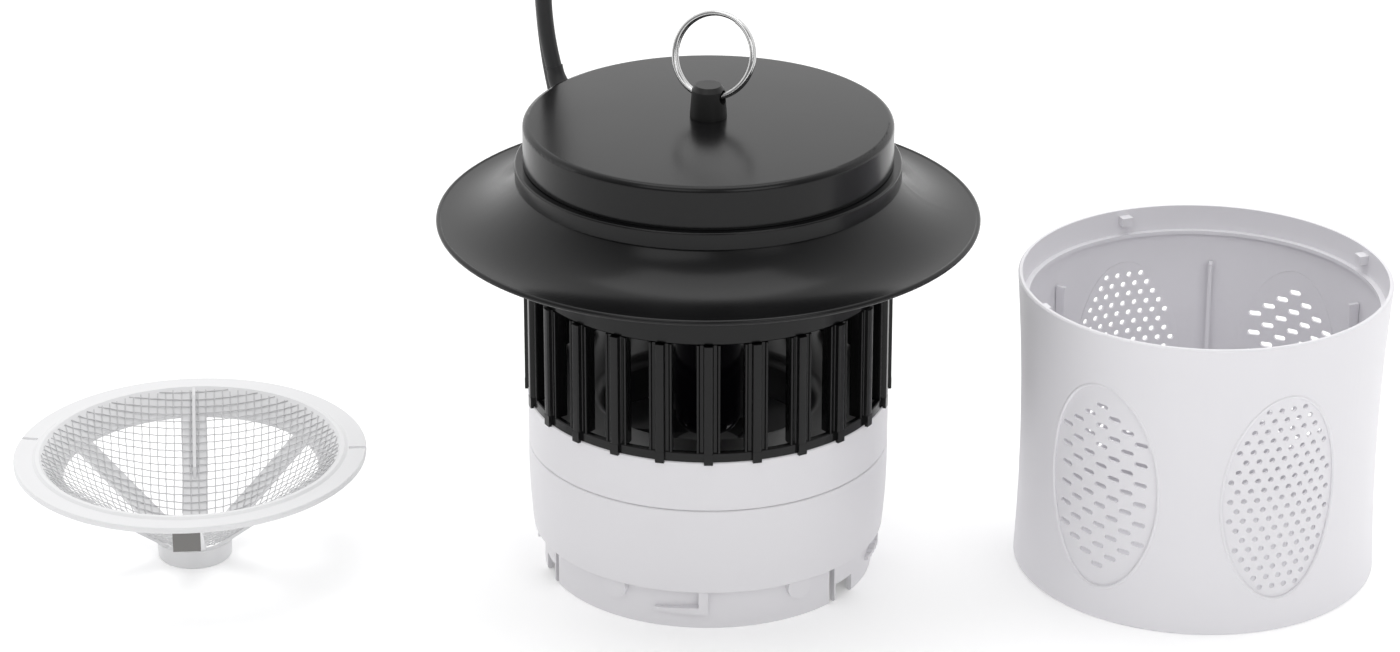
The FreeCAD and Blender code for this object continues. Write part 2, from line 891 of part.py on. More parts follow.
def make_strainer():
    flange = cell("flange_radius")
    top = cell("flange_top")
    inside = cell("flange_inside")
    cup = cell("cup_radius")
    cup_top = cell("cup_height")
    slope = (number(top) - 2 - number(cup_top)) / (number(inside) - number(cup))
    band = 10.0
    rim = turned("flange_body", [
        (inside - band, top - 2.6 - band * slope),
        (inside - 0.2, top - 2.6),
        (flange - 3, top - 2.6),
        (flange - 3, top - 3.4),
        (flange - 0.4, top - 3.4),
        (flange, top - 3.0),
        (flange, top - 1.3),
        (flange - 0.5, top - 0.8),
        (inside + 3, top - 0.8),
        (inside + 1.6, top),
        (inside, top),
        (inside - band, top - 1.0 - band * slope),
    ])
    slots = []
    for index, turn in enumerate((-99.5, 92.5)):
        slots.append(radial_block(f"rim_slot_{index}", 2.2, 8.5, 8, flange + 1, top - 5, turn))
    keep(cut("flange", rim, slots), "strainer_rim", strainer_x)
    cup_body = turned("cup", [
        (cup - 2.4, 0.4),
        (cup - 2.0, 0),
        (cup - 0.6, 0),
        (cup, 0.8),
        (cup + 0.3, cup_top - 1),
        (cup + 1.6, cup_top),
        (cup + 0.6, cup_top + 1.2),
        (cup - 2.0, cup_top),
    ])
    strips = turned("rib_cone", [
        (cup + 0.4, cup_top - 0.2),
        (inside - band, top - 2.6 - band * slope),
        (inside - band, top - 1.1 - band * slope),
        (cup + 0.4, cup_top + 1.4),
    ])
    sectors = [
        radial_block(f"rib_sector_{index}", cell("rib_width"), 62, 60, 66, 0, turn)
        for index, turn in enumerate(round_about(int(SIZES["rib_count"]), SIZES["strainer_turn"]))
    ]
    ribs = document.addObject("Part::Common", "rib_strips")
    ribs.Base = strips
    ribs.Tool = fused("rib_sectors", sectors)
    keep(cut("ribs", ribs, [cup_body]), "strainer_ribs", strainer_x)
    fin = back_fin(cup, cup_top, inside, top, slope)
    net = turned("net", [
        (cup + 0.5, cup_top + 1.6),
        (inside - 0.9, top - 0.2 - 0.9 * slope),
        (inside - 0.9, top + 0.3 - 0.9 * slope),
        (cup + 0.5, cup_top + 2.2),
    ])
    clear = [rim, strips, cup_body, fin]
    keep(cut("net_cut", net, clear), "strainer_net", strainer_x)
    fin_under = [strips, rim]
    keep(group("fin_all", [cut("fin_cut", fin, fin_under)]), "strainer_fin", strainer_x)
    keep(cut("cup_cut", group("cup_all", [cup_body]), [rim]), "strainer_cup", strainer_x)
    tab = radial_block("tab", 11.5, 3, 8.6, flange - 0.8, top - 12.0, SIZES["strainer_turn"])
    keep(group("tab_all", [tab]), "strainer_tab", strainer_x)


def back_fin(cup, cup_top, inside, top, slope):
    """The upright fin that runs down the strainer's back rib."""
    outline = [
        (number(inside) - 1.2, number(top) - 1.6 - 1.2 * slope),
        (number(inside) - 1.2, number(top) + 0.0),
        (number(inside) - 6.0, number(top) - 1.4),
        (number(cup) + 16.0, number(cup_top) + 16.0 * slope + 4.6),
        (number(cup) + 14.0, number(cup_top) + 14.0 * slope + 0.4),
    ]
    points = [Vector(-0.7, y, z) for y, z in outline]
    face = Part.Face(Part.makePolygon([*points, points[0]]))
    fin = shaped("back_fin", face.extrude(Vector(1.4, 0, 0)))
    fin.Placement = Placement(Vector(), Rotation(Vector(0, 0, 1), SIZES["strainer_turn"]))
    return fin


# ---- Bucket -------------------------------------------------------------

def bucket_outline(shift, base, top):
    """The bucket's wall line moved inwards by a shift, from a base to a top height."""
    rim = cell("rim_radius") - shift
    waist = cell("waist_radius") - shift
    foot = cell("foot_radius") - shift
    return (foot, base), (waist, cell("waist_height"), "arc"), (rim, top)


def make_bucket():
    wall = cell("bucket_wall")
    height = cell("bucket_height")
    outer_foot, outer_waist, outer_rim = bucket_outline(0, 1.2, height - 0.6)
    inner_foot, inner_waist, inner_rim = bucket_outline(wall, 2.4, height)
    shell = turned("bucket_body", [
        (0, 0),
        (cell("foot_radius") - 1.2, 0),
        outer_foot,
        outer_waist,
        outer_rim,
        (cell("rim_radius") - 0.6, height),
        inner_rim,
        inner_waist,
        inner_foot,
        (0, 2.4),
    ])
    windows = []
    for index, turn in enumerate(window_turns()):
        windows.append(window_prism(f"window_{index}", turn, 0.0, 60, 90))
    keep(cut("bucket", shell, windows), "bucket_shell", bucket_x)
    ledge = height - 12.4
    step = turned("ledge", [
        (cell("rim_radius") - wall - 3.2, ledge),
        (cell("rim_radius") - wall, ledge),
        (cell("rim_radius") - wall, ledge + 1.6),
        (cell("rim_radius") - wall - 3.2, ledge + 1.6),
    ])
    keep(cut("ledge_fitted", step, [shell]), "bucket_ledge", bucket_x)
    pegs = []
    for index, turn in enumerate(round_about(4, 21.5)):
        pegs.append(radial_block(
            f"peg_{index}", 5, 4.4, 4, cell("rim_radius") - wall + 0.2, height - 6.4, turn
        ))
    keep(cut("pegs_fitted", group("pegs", pegs), [shell]), "bucket_pegs", bucket_x)
    ribs = []
    for index, turn in enumerate(round_about(int(SIZES["rib_count"]), SIZES["window_turn"])):
        ribs.append(radial_block(f"bucket_rib_{index}", 1.6, 4.4, 105, 75.2, 2.2, turn))
    keep(cut("ribs_fitted", group("bucket_ribs_all", ribs), [shell]), "bucket_ribs", bucket_x)


def window_turns():
    """Two windows side by side, and two opposite them."""
    first = SIZES["window_turn"] + 30.0
    return [first, first + 60.0, first + 180.0, first + 240.0]


def window_prism(name, turn, shrink, inside, outside):
    """An upright elliptical prism that runs radially at a turn from the front."""
    half_width = SIZES["window_half_width"] - shrink
    half_height = SIZES["window_half_height"] - shrink
    ellipse = Part.Ellipse(
        Vector(0, -inside, half_height),
        Vector(half_width, -inside, 0),
        Vector(0, -inside, 0),
    )
    face = Part.Face(Part.Wire(ellipse.toShape()))
    prism = face.extrude(Vector(0, inside - outside, 0))
    feature = shaped(name, prism)
    spin = Placement(Vector(), Rotation(Vector(0, 0, 1), turn))
    feature.Placement = spin.multiply(
        Placement(Vector(0, 0, SIZES["window_height"]), Rotation())
    )
    return feature


def make_vents():
    """Four oval panels set 0.8 mm back from the bucket's outside."""
    outer_foot, outer_waist, outer_rim = bucket_outline(0.8, 1.2, cell("bucket_height"))
    inner_foot, inner_waist, inner_rim = bucket_outline(2.0, 1.2, cell("bucket_height"))
    skin = turned("vent_skin", [
        outer_foot, outer_waist, outer_rim, inner_rim, inner_waist, inner_foot,
    ])
    prisms = []
    for index, turn in enumerate(window_turns()):
        prisms.append(window_prism(f"vent_{index}", turn, 0.05, 60, 90))
    panels = document.addObject("Part::Common", "panels")
    panels.Base = skin
    panels.Tool = fused("vent_prisms", prisms)
    keep(panels, "bucket_vents", bucket_x)


make_cap()
make_brim()
make_cap_seal()
make_drum()
make_ceiling()
make_cage()
make_cage_ring()
make_funnel()
make_lamp()
make_board()
make_body()
make_collar()
make_fan()
ceiling_top = number(cell("ceiling_base")) + number(cell("ceiling_depth"))
screw_group("cage_screws", SIZES["pillar_circle"], 2.6, 9, PILLAR_TURNS, ceiling_top)
screw_group("fan_screws", 65, 2.8, 8, round_about(4, 45.0), number(cell("fan_height")) - 19)
make_post()
make_ring()
make_cord()
make_gland()
make_strainer()
make_bucket()
make_vents()

document.recompute()
faults = [thing.Name for thing in document.Objects if {"Invalid", "Error"} & set(thing.State)]
if faults:
    raise RuntimeError(f"failed objects: {faults}")
os.makedirs("parts", exist_ok=True)
for label, thing in kept.items():
    shape = thing.Shape
    if shape.isNull() or not shape.isValid() or not shape.Solids:
        raise RuntimeError(f"{label} has no valid solid")
    shape.exportStep(f"parts/{label}.step")
print(f"{len(kept)} sub-parts written")
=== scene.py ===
import json
import math

import bmesh
import bpy
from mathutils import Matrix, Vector
from mathutils.geometry import delaunay_2d_cdt


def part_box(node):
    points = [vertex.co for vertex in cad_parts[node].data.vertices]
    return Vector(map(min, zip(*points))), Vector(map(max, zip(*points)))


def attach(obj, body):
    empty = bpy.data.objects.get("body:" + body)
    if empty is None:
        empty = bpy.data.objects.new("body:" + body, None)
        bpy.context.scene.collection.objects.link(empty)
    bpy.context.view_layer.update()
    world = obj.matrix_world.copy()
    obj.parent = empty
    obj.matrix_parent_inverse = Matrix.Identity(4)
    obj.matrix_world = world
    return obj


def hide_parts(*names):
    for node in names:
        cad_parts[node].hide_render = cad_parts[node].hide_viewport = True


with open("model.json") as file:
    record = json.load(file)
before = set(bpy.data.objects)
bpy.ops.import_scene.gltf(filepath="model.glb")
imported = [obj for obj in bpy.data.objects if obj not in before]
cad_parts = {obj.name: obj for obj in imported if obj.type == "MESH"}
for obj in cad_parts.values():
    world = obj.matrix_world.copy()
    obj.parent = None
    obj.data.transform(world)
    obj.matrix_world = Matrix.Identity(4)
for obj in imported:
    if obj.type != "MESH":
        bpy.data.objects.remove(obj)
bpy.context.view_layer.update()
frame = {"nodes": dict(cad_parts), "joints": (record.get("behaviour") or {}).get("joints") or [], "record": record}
nodes = frame["nodes"]

# Plain lengths below are in millimetres, and MM turns them into metres.
MM = 0.001


def middle(node):
    """The point half way between a node's lowest and highest corners."""
    low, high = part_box(node)
    return (Vector(low) + Vector(high)) / 2


HEAD = Vector((middle("top_cap").x, middle("top_cap").y, 0))
BUCKET = Vector((middle("bucket_shell").x, middle("bucket_shell").y, 0))
STRAINER = Vector((middle("strainer_rim").x, middle("strainer_rim").y, 0))


# ---- Camera, floor and light --------------------------------------------

CAMERA_PLACE = (0, -1.759, 0.885)
CAMERA_DIP = 23.82
LENS = 115.7
SENSOR_WIDTH = 36
FLOOR_HALF_WIDTH = 6.0
FLOOR_GREY = 0.93
FLOOR_GLOW = 0.24


def make_camera():
    camera = bpy.data.objects.new("camera", bpy.data.cameras.new("camera"))
    bpy.context.scene.collection.objects.link(camera)
    camera.data.lens = LENS
    camera.data.sensor_width = SENSOR_WIDTH
    camera.location = CAMERA_PLACE
    camera.rotation_euler = (math.radians(90 - CAMERA_DIP), 0, 0)
    camera.data.clip_end = 20
    bpy.context.scene.camera = camera


def make_floor():
    mesh = bpy.data.meshes.new("floor")
    edge = FLOOR_HALF_WIDTH
    corners = [(-edge, -edge, 0), (edge, -edge, 0), (edge, edge, 0), (-edge, edge, 0)]
    mesh.from_pydata(corners, [], [(0, 1, 2, 3)])
    floor = bpy.data.objects.new("floor", mesh)
    bpy.context.scene.collection.objects.link(floor)
    paper = plain_material("floor_paper", (FLOOR_GREY, FLOOR_GREY, FLOOR_GREY), 0.9)
    glow = paper.node_tree.nodes["Principled BSDF"].inputs
    glow["Emission Color"].default_value = (1, 1, 1, 1)
    glow["Emission Strength"].default_value = FLOOR_GLOW
    floor.data.materials.append(paper)


def soft_box(name, place, target, width, depth, watts):
    """A rectangular area light at a place, turned to a target; in metres and watts."""
    light = bpy.data.lights.new(name, "AREA")
    light.shape = "RECTANGLE"
    light.size = width
    light.size_y = depth
    light.energy = watts
    lamp = bpy.data.objects.new(name, light)
    lamp.location = place
    aim = Vector(target) - Vector(place)
    lamp.rotation_euler = aim.to_track_quat("-Z", "Y").to_euler()
    bpy.context.scene.collection.objects.link(lamp)


# The tent's strength, which grows from the front to the back along Y.
FRONT_OF_TENT = 0.24
BACK_OF_TENT = 1.2
TENT_FRONT_Y = -0.5
TENT_BACK_Y = 0.4

# Name, place, target, width, depth and watts.
SOFT_BOXES = [
    ("key", (-0.7, -1.5, 1.6), (0, 0, 0.05), 1.3, 1.2, 7),
    ("fill", (0.9, -1.5, 1.2), (0, 0, 0.05), 1.1, 1.1, 7),
    ("overhead", (0, 0.1, 1.9), (0, 0, 0), 1.4, 1.2, 9),
    ("left_wall", (-1.4, 0.1, 0.5), (0, 0, 0.12), 0.4, 0.7, 0.5),
    ("right_wall", (1.5, 0.1, 0.5), (0, 0, 0.12), 0.4, 0.7, 0.2),
]


def make_light():
    """A bright tent, darker in front, and soft boxes beside the head and over it."""
    world = bpy.data.worlds.new("studio")
    bpy.context.scene.world = world
    world.use_nodes = True
    tree = world.node_tree
    background = tree.nodes["Background"]
    place = tree.nodes.new("ShaderNodeTexCoord")
    split = tree.nodes.new("ShaderNodeSeparateXYZ")
    tree.links.new(place.outputs["Generated"], split.inputs["Vector"])
    front = tree.nodes.new("ShaderNodeMapRange")
    front.inputs["From Min"].default_value = TENT_FRONT_Y
    front.inputs["From Max"].default_value = TENT_BACK_Y
    front.inputs["To Min"].default_value = FRONT_OF_TENT
    front.inputs["To Max"].default_value = BACK_OF_TENT
    tree.links.new(split.outputs["Y"], front.inputs["Value"])
    tree.links.new(front.outputs["Result"], background.inputs["Strength"])
    background.inputs["Color"].default_value = (1, 1, 1, 1)
    for box in SOFT_BOXES:
        soft_box(*box)
    scene = bpy.context.scene
    scene.view_settings.view_transform = "Standard"
    scene.view_settings.look = "None"


# ---- Materials ----------------------------------------------------------

def plain_material(name, colour, roughness):
    material = bpy.data.materials.new(name)
    material.use_nodes = True
    shader = material.node_tree.nodes["Principled BSDF"]
    shader.inputs["Base Color"].default_value = (*colour, 1)
    shader.inputs["Roughness"].default_value = roughness
    return material


DRIFT_SCALE = 24
GLOSS_DRIFT = 0.05
GRAIN_DEPTH = 0.0004


def moulded(name, colour, roughness, grain=900, bump=0.04, shade=0.06, **sockets):
    """Moulded or plated stuff: fine grain in the surface, and a slow drift in its colour and gloss."""
    material = plain_material(name, colour, roughness)
    tree = material.node_tree
    shader = tree.nodes["Principled BSDF"]
    for socket, value in sockets.items():
        shader.inputs[socket.replace("_", " ")].default_value = value
    place = tree.nodes.new("ShaderNodeTexCoord")
    drift = tree.nodes.new("ShaderNodeTexNoise")
    drift.inputs["Scale"].default_value = DRIFT_SCALE
    drift.inputs["Detail"].default_value = 3
    tree.links.new(place.outputs["Object"], drift.inputs["Vector"])
    tint = tree.nodes.new("ShaderNodeMix")
    tint.data_type = "RGBA"
    tint.inputs["A"].default_value = (*[channel * (1 - shade) for channel in colour], 1)
    tint.inputs["B"].default_value = (*[min(1, channel * (1 + shade)) for channel in colour], 1)
    tree.links.new(drift.outputs["Fac"], tint.inputs["Factor"])
    tree.links.new(tint.outputs["Result"], shader.inputs["Base Color"])
    gloss = tree.nodes.new("ShaderNodeMapRange")
    gloss.inputs["To Min"].default_value = max(0, roughness - GLOSS_DRIFT)
    gloss.inputs["To Max"].default_value = roughness + GLOSS_DRIFT
    tree.links.new(drift.outputs["Fac"], gloss.inputs["Value"])
    tree.links.new(gloss.outputs["Result"], shader.inputs["Roughness"])
    fine = tree.nodes.new("ShaderNodeTexNoise")
    fine.inputs["Scale"].default_value = grain
    fine.inputs["Detail"].default_value = 2
    tree.links.new(place.outputs["Object"], fine.inputs["Vector"])
    relief = tree.nodes.new("ShaderNodeBump")
    relief.inputs["Strength"].default_value = bump
    relief.inputs["Distance"].default_value = GRAIN_DEPTH
    tree.links.new(fine.outputs["Fac"], relief.inputs["Height"])
    tree.links.new(relief.outputs["Normal"], shader.inputs["Normal"])
    return material


MATERIALS = {
    "black_shell": moulded("black_shell", (0.0055, 0.0055, 0.0058), 0.22, bump=0.02,
                           Specular_IOR_Level=0.26),
    "seal_rubber": moulded("seal_rubber", (0.03, 0.03, 0.03), 0.8),
    "funnel_gloss": moulded("funnel_gloss", (0.03, 0.03, 0.031), 0.34, bump=0.02,
                            Specular_IOR_Level=0.4),
    "dark_glass": moulded("dark_glass", (0.004, 0.003, 0.006), 0.06, bump=0.0, shade=0.2,
                          Coat_Weight=1.0),
    "tube_glass": moulded("tube_glass", (0.7, 0.7, 0.85), 0.1, bump=0.0),
    "holder_plastic": moulded("holder_plastic", (0.012, 0.012, 0.013), 0.5, Specular_IOR_Level=0.25),
    "board": moulded("board", (0.03, 0.16, 0.06), 0.35),
    "brass": moulded("brass", (0.75, 0.58, 0.28), 0.3, Metallic=1.0),
    "screw_steel": moulded("screw_steel", (0.6, 0.6, 0.6), 0.32, Metallic=1.0),
    "component_plastic": moulded("component_plastic", (0.09, 0.09, 0.11), 0.5),
    "white_body": moulded("white_body", (0.76, 0.75, 0.775), 0.4, bump=0.03, shade=0.012),
    "fan_plastic": moulded("fan_plastic", (0.035, 0.035, 0.037), 0.4),
    "motor_steel": moulded("motor_steel", (0.55, 0.55, 0.56), 0.3, Metallic=1.0),
    "post_plastic": moulded("post_plastic", (0.014, 0.014, 0.014), 0.4, bump=0.08,
                            Specular_IOR_Level=0.3),
    "ring_chrome": moulded("ring_chrome", (0.62, 0.62, 0.62), 0.16, grain=2400, bump=0.05,
                           Metallic=1.0),
    "cord_rubber": moulded("cord_rubber", (0.02, 0.02, 0.021), 0.5, grain=1800, bump=0.12,
                           Specular_IOR_Level=0.4),
    "pin_brass": moulded("pin_brass", (0.72, 0.68, 0.58), 0.22, Metallic=1.0),
    "white_strainer": moulded("white_strainer", (0.78, 0.78, 0.79), 0.38, bump=0.03, shade=0.012),
    # The net's grey is painted shade: the strands are darker than the strainer's white to stand in for thin
    # strands that catch little light.
    "net_white": moulded("net_white", (0.62, 0.62, 0.63), 0.5, grain=3000, bump=0.1),
    "tab_grey": moulded("tab_grey", (0.18, 0.175, 0.17), 0.5),
    "white_bucket": moulded("white_bucket", (0.79, 0.78, 0.81), 0.42, bump=0.03, shade=0.012),
}


def paint_cad():
    """Every carried-over node gets the material of its slot in the record."""
    for part in frame["record"]["subparts"]:
        mesh = nodes[part["node"]].data
        mesh.materials.clear()
        mesh.materials.append(MATERIALS[part["material_slot"]])


# ---- Mesh helpers -------------------------------------------------------

def add_piece(name, mesh, material, body, smooth, replaced=()):
    """Links a finished mesh as a piece on a body; edges sharper than smooth degrees stay sharp."""
    piece = bpy.data.objects.new(name, mesh)
    bpy.context.scene.collection.objects.link(piece)
    mesh.materials.append(MATERIALS[material])
    mesh.shade_smooth()
    mesh.set_sharp_from_angle(angle=math.radians(smooth))
    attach(piece, body)
    if replaced:
        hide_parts(*replaced)


def mesh_from(name, points, faces):
    mesh = bpy.data.meshes.new(name)
    mesh.from_pydata([tuple(point) for point in points], [], faces)
    build = bmesh.new()
    build.from_mesh(mesh)
    bmesh.ops.recalc_face_normals(build, faces=build.faces)
    build.to_mesh(mesh)
    build.free()
    return mesh


def tube_along(points, radius, sides, closed=False):
    """Points and faces of a tube along a line of points; its frame never twists."""
    count = len(points)
    tangents = []
    for index in range(count):
        before = points[index - 1] if closed or index else points[0]
        after = points[(index + 1) % count] if closed or index < count - 1 else points[-1]
        tangents.append((after - before).normalized())
    side = tangents[0].orthogonal().normalized()
    vertices, faces = [], []
    for place, tangent in zip(points, tangents):
        side = (side - tangent * side.dot(tangent)).normalized()
        other = tangent.cross(side)
        for step in range(sides):
            angle = 2 * math.pi * step / sides
            reach = side * math.cos(angle) + other * math.sin(angle)
            vertices.append(place + reach * radius)
    rows = count if closed else count - 1
    for row in range(rows):
        here = row * sides
        there = ((row + 1) % count) * sides
        for step in range(sides):
            after = (step + 1) % sides
            faces.append((here + step, here + after, there + after, there + step))
    if not closed:
        faces.append(tuple(range(sides)))
        faces.append(tuple(range((count - 1) * sides, count * sides)))
    return vertices, faces


def joined(parts):
    """One list of points and faces from several."""
    vertices, faces = [], []
    for part_vertices, part_faces in parts:
        base = len(vertices)
        vertices.extend(part_vertices)
        faces.extend(tuple(index + base for index in face) for face in part_faces)
    return vertices, faces


def around(centre, radius, turn, height):
    """A point round a piece's axis; the turn is in degrees from the front towards +X."""
    angle = math.radians(turn)
    return centre + Vector((radius * math.sin(angle), -radius * math.cos(angle), height))


# ---- Hanging ring -------------------------------------------------------

RING_WIRE = 1.12 * MM
RING_RADIUS = 17.6 * MM
RING_ABOVE_EYE = 16.9 * MM
RING_TURNS = 1.97
RING_FIRST = math.radians(72)
RING_STEPS = 160
HALF_STEP_OVER = 0.98 * MM
STEP_OVER_SHARPNESS = 9
RING_UNEVENNESS = 0.05 * MM


def make_split_ring():
    """Spring wire wound twice round, its two turns side by side."""
    centre = middle("hanging_ring")
    joint = next(joint for joint in frame["joints"] if joint["name"] == "ring_swing")
    axle = Vector(joint["axis"]).normalized()
    eye = Vector(joint["pos_m"])
    upright = centre - eye
    upright = (upright - axle * upright.dot(axle)).normalized()
    normal = axle.cross(upright)
    heart = eye + upright * RING_ABOVE_EYE
    points = []
    for index in range(RING_STEPS + 1):
        share = index / RING_STEPS
        angle = RING_FIRST + 2 * math.pi * RING_TURNS * share
        step_over = HALF_STEP_OVER * math.tanh((share - 0.5) * STEP_OVER_SHARPNESS)
        spread = RING_RADIUS + RING_UNEVENNESS * math.sin(angle * 3)
        round_heart = axle * spread * math.cos(angle) + upright * spread * math.sin(angle)
        points.append(heart + round_heart + normal * step_over)
    vertices, faces = tube_along(points, RING_WIRE, 14)
    add_piece("split_ring", mesh_from("split_ring", vertices, faces), "ring_chrome", "ring",
              smooth=50, replaced=["hanging_ring"])


# ---- Mains cord ---------------------------------------------------------

CORD_RADIUS = 3.5 * MM
CORD_TURN = math.radians(135.4)
GLAND_SWING = math.radians(70)
GLAND_BEND = 12.0
GLAND_STUB = 3.4
GLAND_TAIL = 4.0
GLAND_HEIGHT = 190.5
GLAND_SEAT = 0.4
FIRST_RUN = 16
CAP_RADIUS = 78.0
COIL_RADIUS = 39 * MM


def gland_line(angle, beyond=0.0):
    """Radius and height in millimetres of the gland's elbow at an angle, or beyond it."""
    foot = CAP_RADIUS - GLAND_SEAT + GLAND_STUB
    radius = foot + GLAND_BEND * math.sin(angle) + beyond * math.cos(angle)
    height = GLAND_HEIGHT + GLAND_BEND * (1 - math.cos(angle)) + beyond * math.sin(angle)
    return radius, height


def beside_cap(radius, height):
    return HEAD + Vector((radius * math.cos(CORD_TURN), radius * math.sin(CORD_TURN), height)) * MM


def hung_route():
    """The cord from the gland, up, over and down behind the head to the floor."""
    listed_points = [
        (-67.8, 77.0, 247.0),
        (-68.5, 86.0, 276.0),
        (-69.5, 110.0, 297.0),
        (-70.5, 141.0, 299.0),
        (-71.5, 167.0, 281.0),
        (-72.9, 179.0, 250.0),
        (-72.9, 182.5, 210.0),
        (-70.9, 184.5, 168.0),
        (-63.5, 186.0, 128.0),
        (-60.5, 187.5, 86.0),
        (-60.0, 188.5, 45.4),
        (-46.0, 188.8, 20.6),
        (-21.5, 189.0, 4.2),
        (4.5, 189.4, 4.0),
    ]
    start = [
        beside_cap(*gland_line(GLAND_SWING, GLAND_TAIL)),
        beside_cap(*gland_line(GLAND_SWING, GLAND_TAIL + FIRST_RUN)),
    ]
    return start + [Vector(point) * MM for point in listed_points]


COIL_TURNS = 4.5
COIL_STEPS_A_TURN = 16
COIL_LANES = (-3.6, 3.6, 3.6, -3.6, -3.6)
COIL_LEVELS = (3.9, 3.9, 11.0, 11.0, 11.0)
LAST_LANE = len(COIL_LANES) - 1
CROSSING_SHARE = 0.25


def coil_turns():
    """Neat turns, two beside and two on each other, ending at the plug's tail."""
    centre = middle("cord_coil")
    points = []
    steps = int(COIL_TURNS * COIL_STEPS_A_TURN)
    for index in range(1, steps + 1):
        wound = COIL_TURNS * index / steps
        here = min(int(wound), LAST_LANE)
        after = min(here + 1, LAST_LANE)
        blend = 0.0
        if here < LAST_LANE:
            blend = min(1.0, max(0.0, (wound - here - (1 - CROSSING_SHARE)) / CROSSING_SHARE))
        across = COIL_LANES[here] + (COIL_LANES[after] - COIL_LANES[here]) * blend
        rise = COIL_LEVELS[here] + (COIL_LEVELS[after] - COIL_LEVELS[here]) * blend
        angle = math.pi / 2 - 2 * math.pi * wound
        radius = COIL_RADIUS + across * MM
        points.append(Vector((
            centre.x + radius * math.cos(angle),
            centre.y + radius * math.sin(angle),
            rise * MM,
        )))
    return points


def make_cord():
    curve = bpy.data.curves.new("mains_cord", "CURVE")
    curve.dimensions = "3D"
    route = hung_route() + coil_turns()
    spline = curve.splines.new("NURBS")
    spline.points.add(len(route) - 1)
    for control, place in zip(spline.points, route):
        control.co = (*place, 1)
    spline.order_u = 3
    spline.use_endpoint_u = True
    spline.resolution_u = 10
    curve.bevel_depth = CORD_RADIUS
    curve.bevel_resolution = 6
    curve.use_fill_caps = True
    curve.materials.append(MATERIALS["cord_rubber"])
    cord = bpy.data.objects.new("mains_cord", curve)
    bpy.context.scene.collection.objects.link(cord)
    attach(cord, "head")
    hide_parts("cord_tube", "cord_coil")


# ---- Catch bucket's vents -----------------------------------------------

# The bucket's wall is an arc, seen from the side: its radius, and where its middle lies.
WALL_CURVE = 982.7365
WALL_CURVE_RADIUS = 1059.2529
WALL_CURVE_HEIGHT = 55.1799
WINDOW_HALF_WIDTH = 25.95
WINDOW_HALF_HEIGHT = 46.45
WINDOW_HEIGHT = 61.5
PANEL_INSET = 0.8
PANEL_BACK = 2.0
OUTLINE_STEPS = 96
FIRST_WINDOW = -38.5
WINDOW_STEPS = (0, 60, 180, 240)


def on_bucket(turn, across, height, inset):
    """A point on the bucket's waisted wall, moved inwards by an inset; all in millimetres."""
    sweep = math.sqrt(WALL_CURVE ** 2 - (height - WALL_CURVE_HEIGHT) ** 2)
    radius = WALL_CURVE_RADIUS - sweep - inset
    depth = math.sqrt(radius ** 2 - across ** 2)
    angle = math.radians(turn)
    along = across * math.cos(angle) + depth * math.sin(angle)
    back = across * math.sin(angle) - depth * math.cos(angle)
    return BUCKET + Vector((along, back, height)) * MM


def oval(half_width, half_height, steps, middle_at=(0, 0)):
    return [
        (middle_at[0] + half_width * math.cos(2 * math.pi * step / steps),
         middle_at[1] + half_height * math.sin(2 * math.pi * step / steps))
        for step in range(steps)
    ]


def slot_outline(across, up, half_length, half_height, tilt):
    """A round-ended slot, leaning by a tilt in degrees."""
    straight = half_length - half_height
    points = []
    for end, first in ((1, -90), (-1, 90)):
        for step in range(7):
            angle = math.radians(first + 30 * step)
            points.append((end * straight + half_height * math.cos(angle), half_height * math.sin(angle)))
    lean = math.radians(tilt)
    return [
        (across + x * math.cos(lean) - y * math.sin(lean), up + x * math.sin(lean) + y * math.cos(lean))
        for x, y in points
    ]


def fits(across, up, margin_across, margin_up):
    """Whether a place lies inside the window, clear of its edge by the margins."""
    reach = (across / (WINDOW_HALF_WIDTH - margin_across)) ** 2
    return reach + (up / (WINDOW_HALF_HEIGHT - margin_up)) ** 2 < 1


ROUND_ROW = 4.5
ROUND_COLUMN = 5.6
ROUND_HALF_WIDTH = 1.3
ROUND_HALF_HEIGHT = 1.25
ROUND_STEPS = 12
ROUND_MARGINS = (1.9, 3.2)


def round_holes():
    """Round holes packed like a honeycomb."""
    holes = []
    for row in range(-10, 11):
        up = row * ROUND_ROW
        for column in range(-6, 7):
            across = (column + 0.5 * (row % 2)) * ROUND_COLUMN
            if fits(across, up, *ROUND_MARGINS):
                holes.append(oval(ROUND_HALF_WIDTH, ROUND_HALF_HEIGHT, ROUND_STEPS, (across, up)))
    return holes


LONG_COLUMN = 6.1
LONG_ROW = 9.2
LONG_HALF_LENGTH = 2.9
LONG_HALF_HEIGHT = 1.15
LONG_TILT = -4
LONG_MARGINS = (3.6, 5.0)


def long_holes():
    """Long holes in staggered columns."""
    holes = []
    for column in range(-4, 5):
        across = column * LONG_COLUMN
        for row in range(-6, 7):
            up = (row + 0.5 * (column % 2)) * LONG_ROW
            if fits(across, up, *LONG_MARGINS):
                holes.append(slot_outline(across, up, LONG_HALF_LENGTH, LONG_HALF_HEIGHT, LONG_TILT))
    return holes


def centre_of(loop):
    return (sum(x for x, _ in loop) / len(loop), sum(y for _, y in loop) / len(loop))


FILL_ACROSS = 2.0
FILL_UP = 2.1
FILL_SHIFT = (0.31, 0.17)
FILL_MARGINS = (1.2, 1.2)
NEAR_HOLE_EDGE = 1.2
NEAR_HOLE_MIDDLE = 2.6


def fill_points(holes):
    """A grid of points over the plate between the holes, so that it can curve."""
    points = []
    for row in range(-22, 23):
        for column in range(-13, 14):
            place = (column * FILL_ACROSS + FILL_SHIFT[0], row * FILL_UP + FILL_SHIFT[1])
            clear = all(math.dist(place, hole[step]) > NEAR_HOLE_EDGE for hole in holes
                        for step in range(0, len(hole), 2))
            inside = any(math.dist(place, centre_of(hole)) < NEAR_HOLE_MIDDLE for hole in holes)
            if clear and not inside and fits(*place, *FILL_MARGINS):
                points.append(place)
    return points


